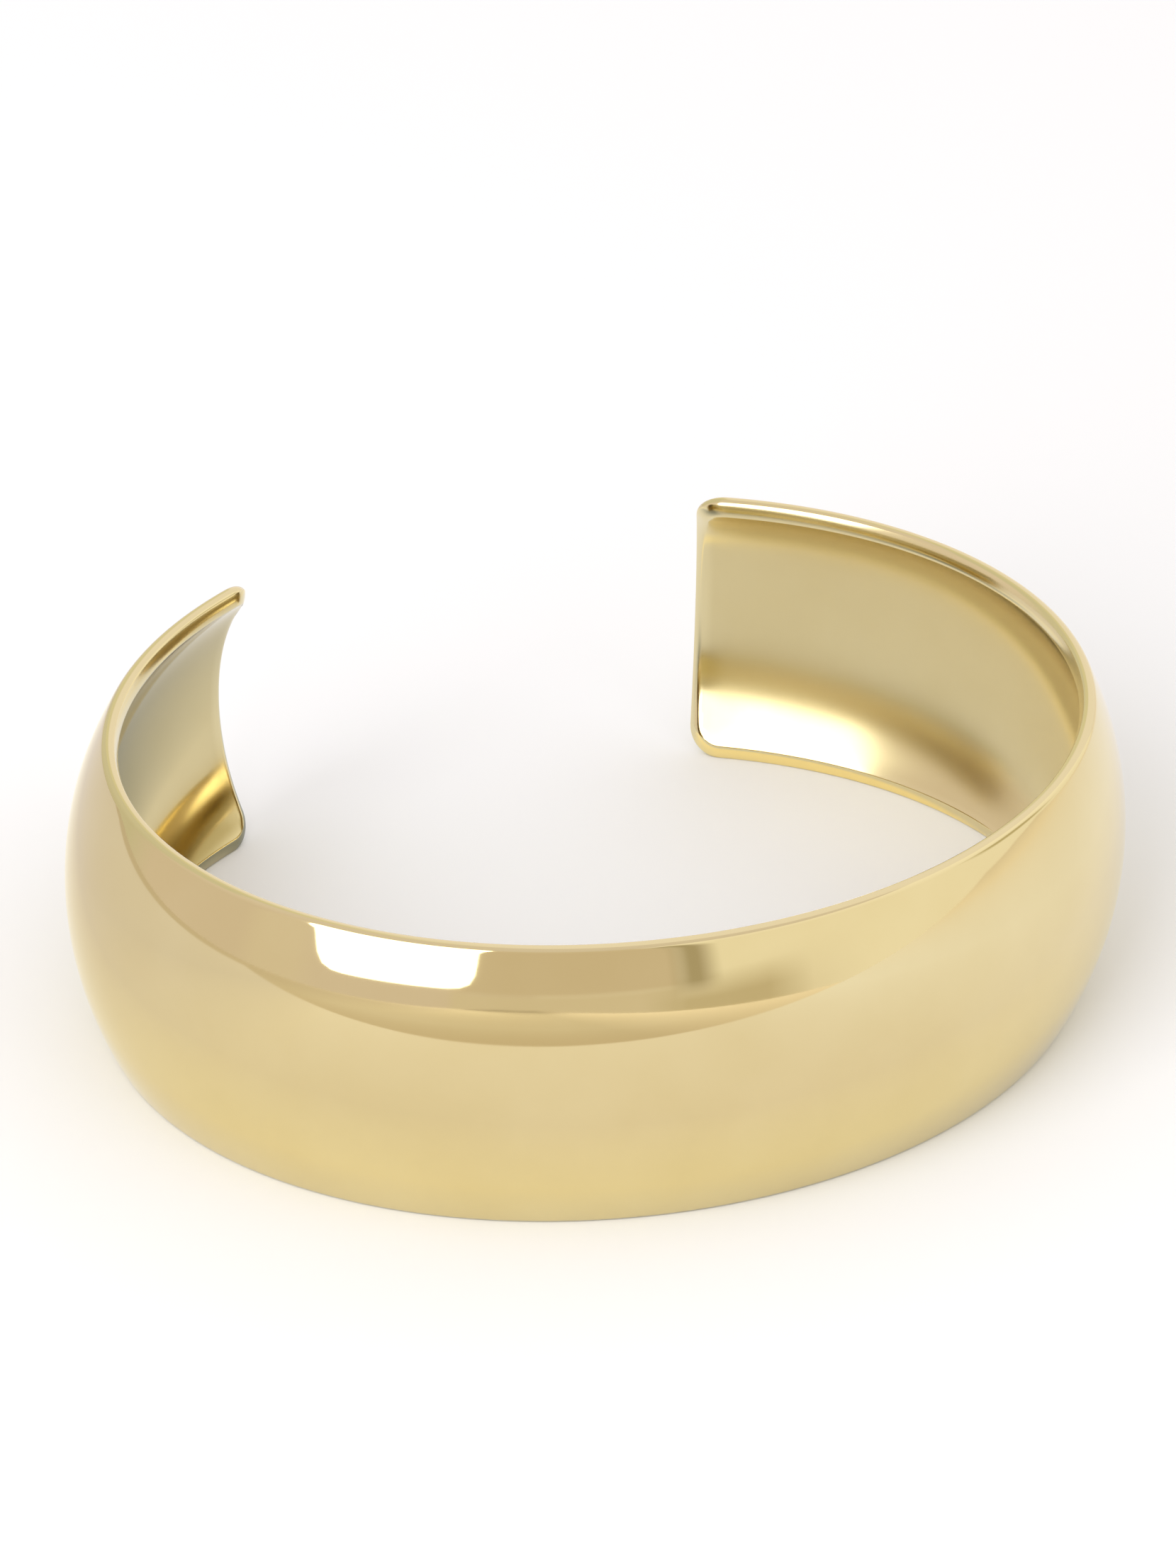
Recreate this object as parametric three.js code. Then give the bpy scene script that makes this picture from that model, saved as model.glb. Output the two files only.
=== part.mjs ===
// A domed open cuff bangle, one strip of metal bent into an oval with a mouth at the back.
// Millimetres, +Z up along the wrist, +X across the width, +Y towards the mouth.
// It lies on its lower rim, with the origin under the middle of its outer box.
import * as THREE from 'three';

// Plan: the line that the rims follow, an oval that is a little fuller towards the mouth.
const halfWidth = 29; // along X
const halfDepth = 23.8; // along Y
const mouthFullness = 0.0255; // share of the radius moved from the front to the mouth
const wrapAngle = 146.4; // degrees from the middle of the front to each terminal

// Section: a round dome across the band, whose wall is thickest near the rims.
const bandHeight = 18.7; // rim to rim along the wrist, at the middle of the wall
const domeRise = 2.25; // how far the middle stands outside the rims
const rimThickness = 1.4;
const hollowing = 0.8; // how much thinner the wall is midway between the rims, all off its inner face
const hollowPower = 3.5; // how late the wall thickens towards the rims
const outerRounding = 0.55; // radius where the outer face turns into the rim
const innerBevel = 0.8; // reach of the soft bevel where the inner face turns into the rim
const bevelSoftness = 1.2; // 1 is a flat bevel and 2 a round one
const rimLand = 0.04; // depth lapped off each rim, which leaves a narrow flat

// Terminals: the band narrows a little towards them and its dome deepens close to them.
const cornerRadius = 1.9;
const endNarrowing = 0.02; // share of the height lost at the terminals
const endDomeGrowth = 0.6; // mm of extra rise at the terminals
const endDomePower = 5; // how late that growth sets in along the band

// Mesh: spans along and across the band, outside the finely cut roundings.
const spansAlong = 72;
const spansAcross = 10;
const roundingSteps = 5;
const cornerSteps = 4;

const radians = THREE.MathUtils.degToRad;

// The oval in plan, run from one terminal to the other.
class Oval extends THREE.Curve {
  getPoint(t, target = new THREE.Vector3()) {
    const angle = radians(wrapAngle) * (2 * t - 1);
    const [s, c] = [Math.sin(angle), Math.cos(angle)];
    const radius = (1 - mouthFullness * c) / Math.hypot(s / halfWidth, c / halfDepth);
    return target.set(radius * s, -radius * c, 0);
  }
}

// The dome in section, run from the lower rim to the upper: x is outwards, y is up.
class Dome extends THREE.Curve {
  getPoint(t, target = new THREE.Vector3()) {
    const limit = 2 * Math.atan2(domeRise, bandHeight / 2); // half of the arc, as an angle
    const radius = bandHeight / 2 / Math.sin(limit);
    const angle = limit * (2 * t - 1);
    return target.set(radius * (Math.cos(angle) - Math.cos(limit)), radius * Math.sin(angle), 0);
  }
}

const oval = new Oval();
const dome = new Dome();
oval.arcLengthDivisions = dome.arcLengthDivisions = 2000;
const bandLength = oval.getLength();
const halfGirth = dome.getLength() / 2;

// Distances from an edge that cut a rounding of the given radius into even angles.
function roundingCuts(radius, steps) {
  return Array.from({ length: steps + 1 }, (_, i) => radius * (1 - Math.cos(Math.PI / 2 * i / steps)));
}

// Distances from an edge that are fine at both ends of a bevel.
function bevelCuts(reach, steps) {
  return Array.from({ length: steps + 1 }, (_, i) => reach / 2 * (1 - Math.cos(Math.PI * i / steps)));
}

// Cuts from 0 to the full span: fine at both edges, even between them.
function cutsOver(span, edgeCuts, evenSpans) {
  const edge = edgeCuts.at(-1);
  const step = (span - 2 * edge) / evenSpans;
  const middle = Array.from({ length: evenSpans - 1 }, (_, i) => edge + step * (i + 1));
  return [...edgeCuts, ...middle, ...edgeCuts.map((cut) => span - cut).reverse()];
}

// How far the long edge draws in at this distance from the terminal, because the corner is round.
function cornerInset(fromEnd) {
  const short = Math.max(cornerRadius - fromEnd, 0);
  return cornerRadius - Math.sqrt(cornerRadius ** 2 - short ** 2);
}

// Distance to the outline of the strip, from the distances to its end and its long edge.
function distanceToOutline(fromEnd, fromSide) {
  const inCorner = fromEnd < cornerRadius && fromSide < cornerRadius;
  const toCorner = cornerRadius - Math.hypot(cornerRadius - fromEnd, cornerRadius - fromSide);
  return Math.max(inCorner ? toCorner : Math.min(fromEnd, fromSide), 0);
}

// Distance from the middle of a full wall to its face, which falls off over a rounding or a soft bevel.
function faceOffset(distance, reach, power) {
  const short = Math.max(1 - distance / reach, 0);
  return rimThickness / 2 - reach * (1 - (1 - short ** power) ** (1 / power));
}

// One point of the cuff: along the strip, across it, on the outer or the inner face.
function wallPoint(along, across, outer) {
  const fromEnd = Math.min(along, bandLength - along);
  const share = Math.abs(2 * along / bandLength - 1); // 0 at the front, 1 at a terminal
  const rise = 1 + endDomeGrowth / domeRise * share ** endDomePower;
  const narrowing = endNarrowing * share ** 2;

  const position = across / (2 * halfGirth) + 0.5;
  const middle = dome.getPointAt(position);
  const tangent = dome.getTangentAt(position);
  tangent.set(tangent.x * rise, tangent.y * (1 - narrowing), 0).normalize();

  const distance = distanceToOutline(fromEnd, halfGirth - Math.abs(across));
  const hollow = hollowing * (1 - Math.abs(across / halfGirth) ** hollowPower);
  const wallShare = 1 - hollow / rimThickness; // a thin wall has as much smaller a rounding and bevel
  const offset = outer
    ? faceOffset(distance, outerRounding * wallShare, 2)
    : hollow - faceOffset(distance, innerBevel * wallShare, bevelSoftness);
  const outwards = middle.x * rise + offset * tangent.y;
  // The lower rim stays level and only the upper one comes down as the band narrows.
  const up = middle.y * (1 - narrowing) - narrowing * bandHeight / 2 - offset * tangent.x;

  const place = oval.getPointAt(along / bandLength);
  const direction = oval.getTangentAt(along / bandLength);
  return place.add(new THREE.Vector3(direction.y, -direction.x, 0).multiplyScalar(outwards)).setZ(up);
}

// The loop around the wall at one station: up the outer face, then down the inner one.
function stationLoop(along) {
  const inset = cornerInset(Math.min(along, bandLength - along));
  const span = 2 * (halfGirth - inset);
  const face = (edgeCuts, outer) => cutsOver(span, edgeCuts, spansAcross)
    .map((cut) => wallPoint(along, cut - span / 2, outer));
  const outer = face(roundingCuts(outerRounding, roundingSteps), true);
  const inner = face(bevelCuts(innerBevel, roundingSteps), false).reverse();
  return [...outer, ...inner];
}

// Laps both rims: nothing stands above the upper land or below the lower one.
function lapRims(stations) {
  const front = stations[Math.floor(stations.length / 2)].map((point) => point.z);
  const low = Math.min(...front) + rimLand;
  const top = Math.max(...front) - rimLand;
  for (const point of stations.flat()) point.z = THREE.MathUtils.clamp(point.z, low, top);
}

// Joins the loops into a closed skin, with a strip of quads over each terminal.
function skin(stations) {
  const size = stations[0].length;
  const across = size / 2;
  const index = [];
  const quad = (a, b, c, d) => index.push(a, b, c, a, c, d);
  for (let i = 0; i < stations.length - 1; i++) {
    for (let j = 0; j < size; j++) {
      const next = (j + 1) % size;
      quad(i * size + j, (i + 1) * size + j, (i + 1) * size + next, i * size + next);
    }
  }
  const last = (stations.length - 1) * size;
  for (let j = 0; j < across - 1; j++) {
    const back = size - 1 - j;
    quad(j, j + 1, back - 1, back);
    quad(last + j, last + back, last + back - 1, last + j + 1);
  }
  const geometry = new THREE.BufferGeometry().setFromPoints(stations.flat());
  geometry.setIndex(index);
  return geometry;
}

function cuffGeometry() {
  const corner = Array.from({ length: cornerSteps }, (_, i) =>
    THREE.MathUtils.lerp(innerBevel, cornerRadius, (i + 1) / cornerSteps));
  const endCuts = [...roundingCuts(innerBevel, roundingSteps + 1), ...corner];
  const stations = cutsOver(bandLength, endCuts, spansAlong).map(stationLoop);
  lapRims(stations);
  const geometry = skin(stations);
  geometry.computeBoundingBox();
  const { min, max } = geometry.boundingBox;
  geometry.translate(-(min.x + max.x) / 2, -(min.y + max.y) / 2, -min.z);
  geometry.computeVertexNormals();
  return geometry;
}

const gold = new THREE.MeshStandardMaterial({ color: 0xe6cd8c, roughness: 0.08, metalness: 1 });

const cuff = new THREE.Mesh(cuffGeometry(), gold);
cuff.name = 'cuff';

const bangle = new THREE.Group();
bangle.name = 'bangle';
bangle.add(cuff);

export default bangle;
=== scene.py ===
# A plain domed cuff bangle in polished pale gold, lying on a pale floor in soft studio light.
import math

import bpy
from mathutils import Matrix, Vector


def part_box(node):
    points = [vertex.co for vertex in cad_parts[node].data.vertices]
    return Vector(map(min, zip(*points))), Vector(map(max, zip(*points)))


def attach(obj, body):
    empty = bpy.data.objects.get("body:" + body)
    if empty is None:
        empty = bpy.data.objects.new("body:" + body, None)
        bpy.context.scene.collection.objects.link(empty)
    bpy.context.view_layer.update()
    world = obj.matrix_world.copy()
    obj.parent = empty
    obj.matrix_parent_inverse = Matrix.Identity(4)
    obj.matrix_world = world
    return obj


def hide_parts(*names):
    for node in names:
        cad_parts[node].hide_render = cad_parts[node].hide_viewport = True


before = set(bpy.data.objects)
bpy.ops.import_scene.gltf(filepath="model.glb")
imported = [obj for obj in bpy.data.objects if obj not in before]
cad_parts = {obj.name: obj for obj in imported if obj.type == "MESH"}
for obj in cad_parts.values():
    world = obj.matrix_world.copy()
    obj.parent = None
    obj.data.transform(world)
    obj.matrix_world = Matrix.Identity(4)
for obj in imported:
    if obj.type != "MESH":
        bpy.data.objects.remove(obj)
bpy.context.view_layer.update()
cuffLow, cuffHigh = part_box("cuff")
cuffCentre = (cuffLow + cuffHigh) / 2
mm = 0.001

cameraLook = {
    "azimuth": -21.8,  # degrees round the cuff, 0 looks along +Y
    "elevation": 33.44,
    "roll": 1.36,
    "distance": 559 * mm,
    "lens": 217,
    "aimRight": -1.1 * mm,  # from the middle of the cuff to the middle of the frame
    "aimUp": 4.35 * mm,
    "nearest": 10 * mm,  # anything closer is cut away
}


# Unit vectors to the right, up and back of a viewer at this place round the cuff.
def viewerAxes(azimuth, elevation, roll=0):
    a, e, r = (math.radians(x) for x in (azimuth, elevation, roll))
    back = Vector((math.sin(a) * math.cos(e), -math.cos(a) * math.cos(e), math.sin(e)))
    level = Vector((math.cos(a), math.sin(a), 0))
    upright = back.cross(level)
    right = level * math.cos(r) + upright * math.sin(r)
    return right, back.cross(right), back


def turnTo(right, up, back):
    return Matrix((right, up, back)).transposed().to_4x4()


def addCamera(look):
    right, up, back = viewerAxes(look["azimuth"], look["elevation"], look["roll"])
    aim = cuffCentre + right * look["aimRight"] + up * look["aimUp"]
    place = cuffCentre + back * look["distance"]
    back = (place - aim).normalized()
    right = up.cross(back).normalized()
    camera = bpy.data.objects.new("camera", bpy.data.cameras.new("camera"))
    camera.data.lens = look["lens"]
    camera.data.clip_start = look["nearest"]
    camera.matrix_world = Matrix.Translation(place) @ turnTo(right, back.cross(right), back)
    bpy.context.scene.collection.objects.link(camera)
    bpy.context.scene.camera = camera


addCamera(cameraLook)
print("camera placed")


# A value on a wire, so that a node tree can be written as a formula.
class Wire:
    def __init__(self, tree, socket):
        self.tree = tree
        self.socket = socket

    def __neg__(self):
        return calculate("MULTIPLY", self, -1)

    def __add__(self, other):
        return calculate("ADD", self, other)

    def __sub__(self, other):
        return calculate("SUBTRACT", self, other)

    def __rsub__(self, other):
        return calculate("SUBTRACT", other, self)

    def __mul__(self, other):
        return calculate("MULTIPLY", self, other)

    def __truediv__(self, other):
        return calculate("DIVIDE", self, other)

    def __rtruediv__(self, other):
        return calculate("DIVIDE", other, self)

    def __pow__(self, other):
        return calculate("POWER", self, other)

    __radd__ = __add__
    __rmul__ = __mul__


# Gives a socket its value, or joins a wire to it.
def feed(tree, socket, value):
    if isinstance(value, Wire):
        tree.links.new(value.socket, socket)
    else:
        socket.default_value = value


def addNode(tree, kind, inputs=None, **settings):
    node = tree.nodes.new(kind)
    for name, value in settings.items():
        setattr(node, name, value)
    for name, value in (inputs or {}).items():
        feed(tree, node.inputs[name], value)
    return node


def output(node, name):
    return Wire(node.id_data, node.outputs[name])


# One step of arithmetic, of which at least one value is a wire.
def calculate(operation, *values):
    tree = next(value.tree for value in values if isinstance(value, Wire))
    inputs = dict(enumerate(values))
    return output(addNode(tree, "ShaderNodeMath", inputs, operation=operation), "Value")


def lesser(first, second):
    return calculate("MINIMUM", first, second)


def greater(first, second):
    return calculate("MAXIMUM", first, second)


def isAbove(value, limit):
    return calculate("GREATER_THAN", value, limit)


def isBelow(value, limit):
    return calculate("LESS_THAN", value, limit)


def sizeOf(value):
    return calculate("ABSOLUTE", value)


def hypotenuse(x, y):
    return calculate("SQRT", x ** 2 + y ** 2)


# 0 below the first value, 1 above the second and even between them
def ramp(value, first, last):
    return greater(lesser((value - first) / (last - first), 1), 0)


# yes where test is 1 and no where it is 0
def choose(test, yes, no):
    return no + test * (yes - no)


def coordinates(vector):
    split = addNode(vector.tree, "ShaderNodeSeparateXYZ", {"Vector": vector})
    return [output(split, axis) for axis in "XYZ"]


def vectorOf(x, y, z=0):
    return output(addNode(x.tree, "ShaderNodeCombineXYZ", {"X": x, "Y": y, "Z": z}), "Vector")


# What the cuff's tree takes as its inputs: lengths, angles and shares, then how finely it is cut.
cuffSizes = {
    "Half Width": 29 * mm,
    "Half Depth": 23.8 * mm,
    "Mouth Fullness": 0.0255,  # share of the radius moved from the front to the mouth
    "Wrap Angle": math.radians(146.4),  # from the middle of the front to each terminal
    "Band Height": 18.7 * mm,
    "Dome Rise": 2.25 * mm,
    "Rim Thickness": 1.4 * mm,  # before the rounding and the bevel
    "Hollowing": 0.8 * mm,  # how much thinner the wall is midway between the rims
    "Hollow Power": 3.5,  # how late the wall thickens towards the rims
    "Outer Rounding": 0.55 * mm,
    "Inner Bevel": 0.8 * mm,
    "Bevel Softness": 1.2,  # 1 is a flat bevel and 2 a round one
    "Rim Land": 0.04 * mm,  # depth lapped off each rim
    "Corner Radius": 1.9 * mm,
    "End Narrowing": 0.02,  # share of the height lost at the terminals
    "End Dome Growth": 0.6 * mm,
    "End Dome Power": 5.0,  # how late that growth sets in along the band
    "Haze Edge": 1.2 * mm,  # over which the polish of the rim gives way to that of the hollow
    "Rim Haze": 0.6,  # share of the hollow's dullness that the bevel has
    "Haze Reach": 14 * mm,  # from the right terminal, where the hollow is dullest
    "Haze Fade": 2.2,  # where it has cleared, in reaches
    "Haze Loss": 0.8,  # share of the dullness that clears
    "Outer Ground": 0.4,  # how far the ground edge goes on the outer face, against the inner one
    "Ground Start": 0.8,  # where the ground edge begins to fade, in bevels
    "Ground End": 1.3,
    "Seal Within": 0.002 * mm,  # points this close become one
    "Spans Along": 320,
    "Spans Across": 56,
    "Rounding Steps": 8,
    "Corner Steps": 8,
}


# The inputs of the tree by name, as wires.
def treeInputs(tree, sizes):
    tree.interface.new_socket("Geometry", in_out="OUTPUT", socket_type="NodeSocketGeometry")
    for name, size in sizes.items():
        kind = "NodeSocketInt" if isinstance(size, int) else "NodeSocketFloat"
        tree.interface.new_socket(name, in_out="INPUT", socket_type=kind)
    tree.interface.new_socket("Material", in_out="INPUT", socket_type="NodeSocketMaterial")
    group = tree.nodes.new("NodeGroupInput")
    return {socket.name: Wire(tree, socket) for socket in group.outputs if socket.name}


# Sends a geometry through one more node.
def passOn(geometry, kind, inputs=None, **settings):
    node = addNode(geometry.tree, kind, {"Geometry": geometry, **(inputs or {})}, **settings)
    return output(node, "Geometry")


def storeAs(name, geometry, value, kind="FLOAT"):
    inputs = {"Name": name, "Value": value}
    return passOn(geometry, "GeometryNodeStoreNamedAttribute", inputs, data_type=kind)


# A straight run of points that the formula bends into a curve, from -1 to 1.
def formulaCurve(tree, bend, points=2001):
    line = output(addNode(tree, "GeometryNodeCurvePrimitiveLine"), "Curve")
    cut = addNode(tree, "GeometryNodeResampleCurve", {"Curve": line, "Count": points})
    share = output(addNode(tree, "GeometryNodeSplineParameter"), "Factor")
    x, y = bend(share * 2 - 1)
    return passOn(output(cut, "Curve"), "GeometryNodeSetPosition", {"Position": vectorOf(x, y)})


def lengthOf(curve):
    return output(addNode(curve.tree, "GeometryNodeCurveLength", {"Curve": curve}), "Length")


# Place and direction on a flat curve at this distance from its start.
def sampleCurve(curve, distance):
    inputs = {"Curves": curve, "Length": distance}
    sample = addNode(curve.tree, "GeometryNodeSampleCurve", inputs, mode="LENGTH")
    placeX, placeY, _ = coordinates(output(sample, "Position"))
    directionX, directionY, _ = coordinates(output(sample, "Tangent"))
    return placeX, placeY, directionX, directionY


# The cuff: a grid of stations along the oval by points round the wall, bent into shape by formula.
def cuffTree(sizes):
    tree = bpy.data.node_groups.new("cuffShape", "GeometryNodeTree")
    given = treeInputs(tree, sizes)
    wrap = given["Wrap Angle"]
    bandHeight = given["Band Height"]
    rimThickness = given["Rim Thickness"]
    outerRounding = given["Outer Rounding"]
    innerBevel = given["Inner Bevel"]
    cornerRadius = given["Corner Radius"]
    hazeReach = given["Haze Reach"]

    # the oval that the rims follow, from one terminal to the other
    def oval(t):
        sine = calculate("SINE", wrap * t)
        cosine = calculate("COSINE", wrap * t)
        reach = hypotenuse(sine / given["Half Width"], cosine / given["Half Depth"])
        radius = (1 - given["Mouth Fullness"] * cosine) / reach
        return radius * sine, -(radius * cosine)

    # the dome across the band, from the lower rim to the upper: x is outwards, y is up
    def dome(t):
        limit = calculate("ARCTAN2", given["Dome Rise"], bandHeight / 2) * 2
        radius = bandHeight / 2 / calculate("SINE", limit)
        rise = calculate("COSINE", limit * t) - calculate("COSINE", limit)
        return radius * rise, radius * calculate("SINE", limit * t)

    ovalCurve = formulaCurve(tree, oval)
    domeCurve = formulaCurve(tree, dome)
    bandLength = lengthOf(ovalCurve)
    halfGirth = lengthOf(domeCurve) / 2

    # counts: one more station at each end runs both faces to one line in the middle of the wall,
    # where they meet but are not welded, because their points are spaced differently;
    # whole numbers are compared half a step off, because the wires hold them as fractions
    roundingSteps = given["Rounding Steps"]
    endSteps = roundingSteps + given["Corner Steps"]
    lastStation = endSteps * 2 + given["Spans Along"]
    lastAcross = roundingSteps * 2 + given["Spans Across"]
    loopPoints = lastAcross * 2 + 2
    counts = {"Vertices X": lastStation + 3, "Vertices Y": loopPoints + 1}
    grid = addNode(tree, "GeometryNodeMeshGrid", counts)
    index = output(addNode(tree, "GeometryNodeInputIndex"), "Index")
    halfStep = 0.5
    row = calculate("FLOOR", (index + halfStep) / (loopPoints + 1))
    column = calculate("MODULO", index - row * (loopPoints + 1), loopPoints)
    station = greater(lesser(row - 1, lastStation), 0)
    closing = isAbove(sizeOf(row - 1 - lastStation / 2), lastStation / 2 + halfStep)

    # cuts from an edge: a rounding turns by even angles, a bevel is fine at both ends
    def roundingCut(radius, steps):
        quarter = math.pi / 2 * lesser(steps / roundingSteps, 1)
        return radius * (1 - calculate("COSINE", quarter))

    def bevelCut(depth, steps):
        half = math.pi * lesser(steps / roundingSteps, 1)
        return depth / 2 * (1 - calculate("COSINE", half))

    # along the band
    fromEndSteps = lesser(station, lastStation - station)
    inRounding = isBelow(fromEndSteps, roundingSteps + halfStep)
    inCorner = isBelow(fromEndSteps, endSteps + halfStep)
    endRounding = greater(outerRounding, innerBevel)
    cornerStep = (cornerRadius - endRounding) / given["Corner Steps"]
    cornerCut = endRounding + cornerStep * (fromEndSteps - roundingSteps)
    evenStation = (bandLength - cornerRadius * 2) / given["Spans Along"]
    evenCut = cornerRadius + evenStation * (fromEndSteps - endSteps)
    pastRounding = choose(inCorner, cornerCut, evenCut)
    fromEnd = choose(inRounding, roundingCut(endRounding, fromEndSteps), pastRounding)
    pastMiddle = isAbove(station, lastStation / 2)
    along = choose(pastMiddle, bandLength - fromEnd, fromEnd)
    share = 1 - fromEnd * 2 / bandLength  # 0 at the front, 1 at a terminal

    # across the band: up the outer face, then down the inner one
    inside = isAbove(column, lastAcross + halfStep)
    order = choose(inside, lastAcross * 2 + 1 - column, column)
    fromRimSteps = lesser(order, lastAcross - order)
    short = greater(cornerRadius - fromEnd, 0)
    cornerInset = cornerRadius - calculate("SQRT", cornerRadius ** 2 - short ** 2)
    halfSpan = halfGirth - cornerInset
    inRimRounding = isBelow(fromRimSteps, roundingSteps + halfStep)
    rimRounding = choose(inside, innerBevel, outerRounding)
    evenStep = (halfSpan - rimRounding) * 2 / given["Spans Across"]
    rimCut = rimRounding + evenStep * (fromRimSteps - roundingSteps)
    outerCut = roundingCut(outerRounding, fromRimSteps)
    nearRim = choose(inside, bevelCut(innerBevel, fromRimSteps), outerCut)
    fromRim = choose(inRimRounding, nearRim, rimCut)
    upper = isAbove(order, lastAcross / 2)
    across = choose(upper, halfSpan - fromRim, fromRim - halfSpan)

    # distance to the outline of the strip, whose corners are round
    fromSide = halfGirth - sizeOf(across)
    shortSide = greater(cornerRadius - fromSide, 0)
    toCorner = cornerRadius - hypotenuse(short, shortSide)
    nearest = lesser(fromEnd, fromSide)
    bothShort = isAbove(short * shortSide, 0)
    distance = greater(choose(bothShort, toCorner, nearest), 0)

    # from the middle of a full wall to its face, which falls off over a rounding or a soft bevel;
    # where the wall is thin, these are as much smaller
    hollow = given["Hollowing"] * (1 - sizeOf(across / halfGirth) ** given["Hollow Power"])
    wallShare = 1 - hollow / rimThickness

    def faceOffset(reach, power):
        missing = greater(1 - distance / reach, 0)
        return rimThickness / 2 - reach * (1 - (1 - missing ** power) ** (1 / power))

    innerOffset = faceOffset(innerBevel * wallShare, given["Bevel Softness"])
    offset = choose(inside, hollow - innerOffset, faceOffset(outerRounding * wallShare, 2))
    offset = choose(closing, (hollow + (innerBevel - outerRounding) * wallShare) / 2, offset)

    # the dome, deeper and a little narrower towards the terminals
    growth = given["End Dome Growth"] / given["Dome Rise"]
    rise = 1 + growth * share ** given["End Dome Power"]
    narrowing = given["End Narrowing"] * share ** 2
    midX, midY, tangentX, tangentY = sampleCurve(domeCurve, across + halfGirth)
    leanX = tangentX * rise
    leanY = tangentY * (1 - narrowing)
    lean = hypotenuse(leanX, leanY)
    outwards = midX * rise + offset * leanY / lean
    lowered = narrowing * bandHeight / 2  # keeps the lower rim level
    upwards = midY * (1 - narrowing) - lowered - offset * leanX / lean

    # on the oval, whose outward side is to the right of its direction
    placeX, placeY, directionX, directionY = sampleCurve(ovalCurve, along)
    place = vectorOf(placeX + directionY * outwards, placeY - directionX * outwards, upwards)
    shape = passOn(output(grid, "Mesh"), "GeometryNodeSetPosition", {"Position": place})

    # lap both rims level with the front, which leaves a narrow land
    hereX, hereY, hereZ = coordinates(output(addNode(tree, "GeometryNodeInputPosition"), "Position"))
    nearlyHere = 0.6  # in stations, so that an odd count has a front too
    isFront = calculate("COMPARE", station, lastStation / 2, nearlyHere)
    heights = {"Geometry": shape, "Selection": isFront, "Attribute": hereZ}
    front = addNode(tree, "GeometryNodeAttributeStatistic", heights)
    low = output(front, "Min") + given["Rim Land"]
    top = output(front, "Max") - given["Rim Land"]
    lapped = vectorOf(hereX, hereY, lesser(greater(hereZ, low), top))
    shape = passOn(shape, "GeometryNodeSetPosition", {"Position": lapped})

    # what the finish follows: the place on the band, the dullness of the hollow and the ground edges
    shape = storeAs("band", shape, vectorOf(along, across), "FLOAT_VECTOR")
    lowerHalf = ramp(-across, 0, halfGirth / 2)
    toEnd = bandLength - along - hazeReach * lowerHalf
    cleared = ramp(toEnd, hazeReach, hazeReach * given["Haze Fade"])
    hollowHaze = 1 - cleared * given["Haze Loss"]
    pastBevel = ramp(distance, innerBevel, innerBevel + given["Haze Edge"])
    shape = storeAs("haze", shape, inside * choose(pastBevel, hollowHaze, given["Rim Haze"]))
    groundReach = innerBevel * choose(inside, 1, given["Outer Ground"])
    pastGround = ramp(distance / groundReach, given["Ground Start"], given["Ground End"])
    shape = storeAs("rim", shape, 1 - pastGround)

    shape = passOn(shape, "GeometryNodeMergeByDistance", {"Distance": given["Seal Within"]})
    shape = passOn(shape, "GeometryNodeSetShadeSmooth")
    shape = passOn(shape, "GeometryNodeRealizeInstances")
    shape = passOn(shape, "GeometryNodeSetMaterial", {"Material": given["Material"]})
    feed(tree, tree.nodes.new("NodeGroupOutput").inputs["Geometry"], shape)
    return tree


# Links a mesh into the scene as an object of the same name.
def addObject(mesh):
    piece = bpy.data.objects.new(mesh.name, mesh)
    bpy.context.scene.collection.objects.link(piece)
    return piece


# Runs the tree once and keeps what it makes as a plain mesh.
def makeFromTree(name, tree, values):
    maker = addObject(bpy.data.meshes.new("maker"))
    modifier = maker.modifiers.new("shape", "NODES")
    modifier.node_group = tree
    for item in tree.interface.items_tree:
        if item.in_out == "INPUT":
            modifier[item.identifier] = values[item.name]
    bpy.context.view_layer.update()
    graph = bpy.context.evaluated_depsgraph_get()
    mesh = bpy.data.meshes.new_from_object(maker.evaluated_get(graph))
    bpy.data.objects.remove(maker)
    mesh.name = name
    return addObject(mesh)


# Moves a mesh so that it stands where the frame's node stands.
def seatIn(mesh, low, high):
    places = [vertex.co for vertex in mesh.vertices]
    lowest = Vector([min(place[axis] for place in places) for axis in range(3)])
    highest = Vector([max(place[axis] for place in places) for axis in range(3)])
    shift = (low + high) / 2 - (lowest + highest) / 2
    shift.z = low.z - lowest.z
    mesh.transform(Matrix.Translation(shift))


goldLook = {
    "gold": (0.705, 0.60, 0.335),
    "deepGold": (0.67, 0.56, 0.295),
    "deepGoldShare": 0.5,  # of the smudges
    "rimGold": (0.755, 0.65, 0.375),  # paler where the edges were ground
    "polish": 0.035,  # roughness of the outer face and the rims
    "haze": 0.23,  # roughness of the hollow, which is buffed less
    "smudge": 0.02,  # how much the roughness wanders
    "smudgeSize": 6 * mm,
    "smudgeDetail": 4.0,
    "smudgeSpan": (0.35, 0.65),  # of the noise, from clear to smudged
    "waveSize": 11 * mm,
    "waveDetail": 1.0,
    "waveHeight": 0.006 * mm,
    "buffLength": 14 * mm,  # fine buffing lines run along the band
    "buffWidth": 0.22 * mm,
    "buffDetail": 2.0,
    "buffHeight": 0.00004 * mm,
}

mixShare, mixFirst, mixSecond, mixResult = 0, 6, 7, 2  # the sockets of a Mix node for colours


def feedColour(tree, socket, colour):
    feed(tree, socket, colour if isinstance(colour, Wire) else (*colour, 1))


def mixColour(tree, share, first, second):
    paint = addNode(tree, "ShaderNodeMix", {mixShare: share}, data_type="RGBA")
    feedColour(tree, paint.inputs[mixFirst], first)
    feedColour(tree, paint.inputs[mixSecond], second)
    return output(paint, mixResult)


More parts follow.
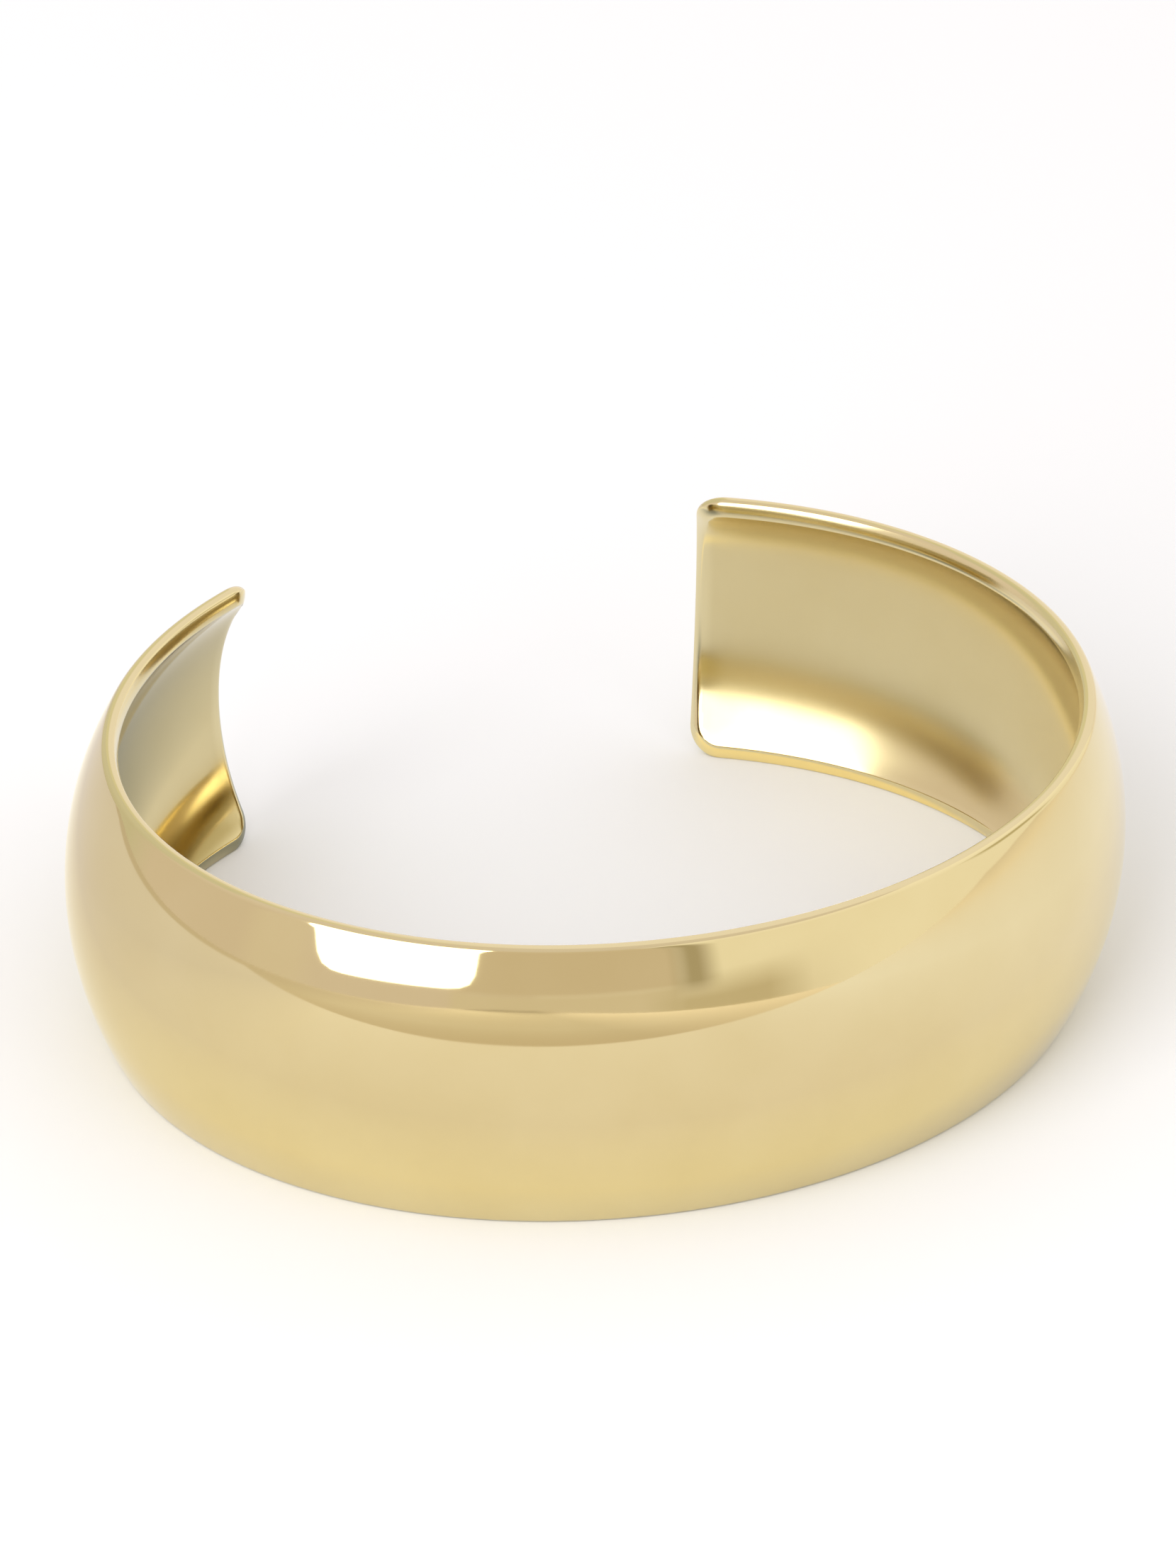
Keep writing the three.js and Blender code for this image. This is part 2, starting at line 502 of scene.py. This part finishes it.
def noise(tree, place, size, detail):
    inputs = {"Vector": place, "Scale": 1 / size, "Detail": detail}
    return output(addNode(tree, "ShaderNodeTexNoise", inputs), "Fac")


def attribute(tree, name, result):
    return output(addNode(tree, "ShaderNodeAttribute", attribute_name=name), result)


def objectPlace(tree):
    return output(addNode(tree, "ShaderNodeTexCoord"), "Object")


def newMaterial(name):
    material = bpy.data.materials.new(name)
    material.use_nodes = True
    return material, material.node_tree, material.node_tree.nodes["Principled BSDF"].inputs


# Polished gold plate: slow waves and fine buffing in the relief, and a duller hollow.
def goldMaterial(look):
    material, tree, shader = newMaterial("polishedGold")
    place = objectPlace(tree)
    haze = attribute(tree, "haze", "Fac")
    rim = attribute(tree, "rim", "Fac")

    smudges = noise(tree, place, look["smudgeSize"], look["smudgeDetail"])
    smudges = ramp(smudges, *look["smudgeSpan"])
    tint = mixColour(tree, smudges * look["deepGoldShare"], look["gold"], look["deepGold"])
    feed(tree, shader["Base Color"], mixColour(tree, rim, tint, look["rimGold"]))
    polish = look["polish"] + smudges * look["smudge"]
    feed(tree, shader["Roughness"], polish + haze * (look["haze"] - look["polish"]))

    waves = noise(tree, place, look["waveSize"], look["waveDetail"])
    wavy = addNode(tree, "ShaderNodeBump", {"Height": waves, "Distance": look["waveHeight"]})
    stretch = (look["buffWidth"] / look["buffLength"], 1, 1)
    band = {"Vector": attribute(tree, "band", "Vector"), "Scale": stretch}
    lines = output(addNode(tree, "ShaderNodeMapping", band), "Vector")
    buffing = noise(tree, lines, look["buffWidth"], look["buffDetail"])
    relief = {"Height": buffing, "Distance": look["buffHeight"], "Normal": output(wavy, "Normal")}
    buffed = addNode(tree, "ShaderNodeBump", relief)
    feed(tree, shader["Normal"], output(buffed, "Normal"))
    shader["Metallic"].default_value = 1
    return material


cuffValues = {**cuffSizes, "Material": goldMaterial(goldLook)}
cuff = makeFromTree("goldCuff", cuffTree(cuffSizes), cuffValues)
seatIn(cuff.data, cuffLow, cuffHigh)
print("cuff made:", len(cuff.data.polygons), "faces")
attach(cuff, "root")
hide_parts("cuff")

floorLook = {
    "reach": 6.0,
    "colour": (0.895, 0.925, 0.965),
    "roughness": 0.9,
}


# A material without gloss.
def dullMaterial(name, roughness):
    material, tree, shader = newMaterial(name)
    shader["Roughness"].default_value = roughness
    shader["Specular IOR Level"].default_value = 0
    return material, tree, shader["Base Color"]


# A level rectangle, from its edges to the right of the cuff and away from the viewer.
def addLevelSheet(name, sides, depths, height, material):
    sideways, _, _ = viewerAxes(cameraLook["azimuth"], 0)
    away = Vector((-sideways.y, sideways.x, 0))
    middle = Vector((cuffCentre.x, cuffCentre.y, height))
    (left, right), (near, far) = sides, depths
    outline = ((left, near), (right, near), (right, far), (left, far))
    mesh = bpy.data.meshes.new(name)
    mesh.from_pydata([middle + sideways * x + away * y for x, y in outline], [], [(0, 1, 2, 3)])
    mesh.materials.append(material)
    sheet = addObject(mesh)
    return sheet


def addFloor(look):
    paint, tree, colour = dullMaterial("floorPaint", look["roughness"])
    feedColour(tree, colour, look["colour"])
    wide = (-look["reach"], look["reach"])
    floor = addLevelSheet("floor", wide, wide, 0, paint)
    floor.visible_glossy = False


# What the polished gold shows of the table: a sheet of paper with light and shade painted on by
# place, and the board past it.
# A span holds where a colour begins and where it is full; one in reaches is 1 on the cuff's outline.
tableLook = {
    "sheetFront": 88 * mm,  # from the middle of the cuff towards the camera
    "sheetLeft": 145 * mm,
    "sheetHeight": 0.02 * mm,
    "sheetRoughness": 0.9,
    "boardLeftEdge": 175 * mm,
    "boardRightEdge": 110 * mm,
    "boardHeight": 0.01 * mm,
    "boardRoughness": 0.6,
    "far": 2.0,
    "paper": (0.885, 0.885, 0.895),
    # painted shade: the paper darker towards the left and back
    "paperLeftShade": (0.77, 0.77, 0.83),
    "leftAim": (-0.6, 0.8),
    "leftSpan": (15 * mm, 50 * mm),
    # painted light, above white in places: the paper lighter to the right, far to the right and close
    # to the cuff
    "paperRightLight": (0.98, 1.02, 1.10),
    "rightSpan": (10 * mm, 60 * mm),
    "paperFarLight": (1.06, 1.03, 0.97),  # far to the right
    "farSpan": (70 * mm, 300 * mm),
    "paperNearLight": (0.97, 0.985, 0.94),  # close to the cuff
    "nearSpan": (1.35, 1.02),  # in reaches, as is the next
    # painted bluish light on the paper inside the cuff's outline
    "hollow": (0.90, 0.945, 1.03),
    "hollowSpan": (1.0, 0.9),
    "mouthShade": (0.385, 0.44, 0.53),  # in the left half of the hollow, and out through the mouth
    "shadeSpan": (0.95, 0.80),  # in reaches
    "shadeLeft": (0, 14 * mm),
    "shadeBack": (-4 * mm, 12 * mm),
    "shadeEnd": (44 * mm, 26 * mm),
    "terminalSpan": (0.94, 1.0),  # in reaches, where the left terminal hides the shade
    "terminalLeft": (15 * mm, 17 * mm),
    "rimGlow": (1.20, 1.17, 0.92),  # what the gold throws on the sheet along the right terminal
    "glowInner": (0.92, 0.935),  # in reaches, as is the next
    "glowOuter": (1.02, 0.96),
    "glowRight": (2 * mm, 6 * mm),
    "glowBack": (-3 * mm, 5 * mm),
    "boardNear": (0.64, 0.585, 0.50),
    # painted sheen: the board lighter and greyer further off
    "boardFarSheen": (0.70, 0.665, 0.60),
    "boardSpan": (90 * mm, 150 * mm),
    "boardAim": (0.93, -0.37),  # rightwards along the board
    "boardLeft": (0.62, 0.58, 0.53),
    "boardLeftSpan": (-90 * mm, -140 * mm),
    "boardEnd": (1.0, 0.95, 0.88),  # towards its right end
    "boardEndSpan": (30 * mm, 105 * mm),
}


# How far a place lies in this direction.
def towards(aim, x, y):
    return x * aim[0] + y * aim[1]


def paperMaterial(look):
    material, tree, socket = dullMaterial("paper", look["sheetRoughness"])
    x, y, _ = coordinates(objectPlace(tree))
    across = x / cuffHigh.x
    reach = hypotenuse(across, y / cuffHigh.y)
    mouthReach = hypotenuse(across, lesser(y, y / 2) / cuffHigh.y)  # runs out through the mouth

    # painted shade towards the left and back
    leftwards = towards(look["leftAim"], x, y)
    colour = mixColour(tree, ramp(leftwards, *look["leftSpan"]), look["paper"], look["paperLeftShade"])
    # painted light to the right, far to the right and close to the cuff
    colour = mixColour(tree, ramp(x, *look["rightSpan"]), colour, look["paperRightLight"])
    colour = mixColour(tree, ramp(x, *look["farSpan"]), colour, look["paperFarLight"])
    colour = mixColour(tree, ramp(mouthReach, *look["nearSpan"]), colour, look["paperNearLight"])

    # inside the cuff's outline: a painted bluish light, with painted shade over its left half and out
    # through the mouth
    shade = ramp(mouthReach, *look["shadeSpan"]) * ramp(-x, *look["shadeLeft"])
    shade = shade * ramp(y, *look["shadeBack"]) * ramp(y, *look["shadeEnd"])
    behindTerminal = ramp(reach, *look["terminalSpan"]) * ramp(-x, *look["terminalLeft"])
    hollow = mixColour(tree, shade * (1 - behindTerminal), look["hollow"], look["mouthShade"])
    colour = mixColour(tree, ramp(mouthReach, *look["hollowSpan"]), colour, hollow)

    glow = ramp(reach, *look["glowInner"]) * ramp(reach, *look["glowOuter"])
    glow = glow * ramp(x, *look["glowRight"]) * ramp(y, *look["glowBack"])
    feed(tree, socket, mixColour(tree, glow, colour, look["rimGlow"]))
    return material


def boardMaterial(look):
    material, tree, socket = dullMaterial("board", look["boardRoughness"])
    place = objectPlace(tree)
    x, y, _ = coordinates(place)
    reach = output(addNode(tree, "ShaderNodeVectorMath", {0: place}, operation="LENGTH"), "Value")
    rightwards = towards(look["boardAim"], x, y)
    # painted sheen further off
    colour = mixColour(tree, ramp(reach, *look["boardSpan"]), look["boardNear"], look["boardFarSheen"])
    colour = mixColour(tree, ramp(rightwards, *look["boardLeftSpan"]), colour, look["boardLeft"])
    colour = mixColour(tree, ramp(rightwards, *look["boardEndSpan"]), colour, look["boardEnd"])
    feed(tree, socket, colour)
    return material


def showInPolishOnly(thing):
    thing.visible_camera = False
    thing.visible_diffuse = False
    thing.visible_shadow = False


def addMirroredTable(look):
    far = look["far"]
    paper = paperMaterial(look)
    board = boardMaterial(look)
    sheetSides = (-look["sheetLeft"], far)
    boardSides = (-look["boardLeftEdge"], look["boardRightEdge"])
    showInPolishOnly(
        addLevelSheet("sheet", sheetSides, (-look["sheetFront"], far), look["sheetHeight"], paper)
    )
    showInPolishOnly(addLevelSheet("board", boardSides, (-far, far), look["boardHeight"], board))


addFloor(floorLook)
addMirroredTable(tableLook)
print("floor laid")

softboxLook = {
    "azimuth": -52,
    "elevation": 32,
    "roll": 6,
    "distance": 0.7,
    "width": 0.44,
    "height": 0.74,
    "squareness": 9,  # 2 is an ellipse
    "skew": 0.14,  # how far its right edge leans in at the top
    "points": 64,  # round its outline
    "radiance": 2.95,  # what the floor gets from it
    "glow": 3.7,  # what the polish shows of it
}


# An area light that faces the cuff. Its radiance is what a mirror would show.
def addSoftbox(look):
    right, up, back = viewerAxes(look["azimuth"], look["elevation"], look["roll"])
    width, height = look["width"], look["height"]
    lamp = bpy.data.lights.new("softbox", "AREA")
    lamp.shape = "RECTANGLE"
    lamp.size = width
    lamp.size_y = height
    lamp.energy = look["radiance"] * math.pi * width * height
    softbox = bpy.data.objects.new("softbox", lamp)
    place = Matrix.Translation(cuffCentre + back * look["distance"])
    softbox.matrix_world = place @ turnTo(right, up, back)
    softbox.visible_camera = False
    softbox.visible_glossy = False
    bpy.context.scene.collection.objects.link(softbox)
    addSoftboxFront(look, softbox.matrix_world)


# The glowing front of the softbox, which only the polish shows.
def addSoftboxFront(look, place):
    power = look["squareness"]
    count = look["points"]
    points = []
    for turn in range(count):
        angle = 2 * math.pi * turn / count
        x, y = math.cos(angle), math.sin(angle)
        size = (abs(x) ** power + abs(y) ** power) ** (-1 / power)
        x, y = x * size, y * size
        x -= look["skew"] * (1 + x) / 2 * y
        points.append((x * look["width"] / 2, y * look["height"] / 2, 0))
    mesh = bpy.data.meshes.new("softboxFront")
    mesh.from_pydata(points, [], [tuple(range(count))])
    mesh.transform(place)

    glow, tree, _ = newMaterial("glow")
    tree.nodes.remove(tree.nodes["Principled BSDF"])
    emission = addNode(tree, "ShaderNodeEmission", {"Strength": look["glow"]})
    feed(tree, tree.nodes["Material Output"].inputs["Surface"], output(emission, "Emission"))
    mesh.materials.append(glow)
    front = addObject(mesh)
    showInPolishOnly(front)


# Walls of the room: azimuth and elevation from and to in degrees, each in front of those above it.
roomLook = {
    "softness": 2.0,  # degrees over which a wall gives way to the next, if it has none of its own
    "back": (1.05, 1.0, 1.0),
    "walls": [
        {"across": (-175, -20), "up": (-90, 90), "colour": (0.89, 0.80, 0.79)},
        {"across": (-190, -128), "up": (-90, 90), "soft": 14, "colour": (0.78, 0.76, 0.65)},
        {"across": (163, 190), "up": (-90, 58), "soft": 8, "colour": (0.86, 0.83, 0.65)},
        {"across": (-84, -68), "up": (-90, 60), "soft": 6, "colour": (0.93, 0.85, 0.82)},
        {"across": (10, 115), "up": (-90, 90), "colour": (1.17, 1.13, 1.07)},
        {"across": (14, 32), "up": (-90, 3), "soft": 14, "colour": (1.04, 0.98, 0.90)},
        {"across": (69, 90), "up": (12, 30), "soft": 8, "colour": (0.68, 0.61, 0.42)},
        {"across": (-36, 5), "up": (4, 90), "colour": (0.83, 0.735, 0.65)},
        {"across": (-36, 5), "up": (-90, 4), "colour": (0.89, 0.81, 0.73)},
        {"across": (2, 24), "up": (-90, 3), "soft": 8, "colour": (0.76, 0.68, 0.54)},
        {"across": (5, 10.5), "up": (3, 50), "soft": 4, "colour": (0.56, 0.50, 0.38)},
        {"across": (-180, 180), "up": (58, 90), "colour": (0.87, 0.80, 0.79)},
    ],
}


# 1 between two angles and 0 outside them
def between(angle, first, last, softness):
    half = softness / 2
    return ramp(angle, first - half, first + half) * ramp(angle, last + half, last - half)


# The room as the cuff sees it, painted by direction.
def addRoom(look):
    world = bpy.data.worlds.new("room")
    world.use_nodes = True
    tree = world.node_tree
    x, y, z = coordinates(output(addNode(tree, "ShaderNodeTexCoord"), "Generated"))
    degrees = 180 / math.pi
    azimuth = calculate("ARCTAN2", x, -y) * degrees
    elevation = calculate("ARCSINE", z) * degrees
    colour = look["back"]
    for wall in look["walls"]:
        softness = wall.get("soft", look["softness"])
        share = between(azimuth, *wall["across"], softness)
        share = share * between(elevation, *wall["up"], softness)
        colour = mixColour(tree, share, colour, wall["colour"])
    feed(tree, tree.nodes["Background"].inputs["Color"], colour)
    bpy.context.scene.world = world


addSoftbox(softboxLook)
addRoom(roomLook)
bpy.context.scene.view_settings.view_transform = "Standard"
print("light set")
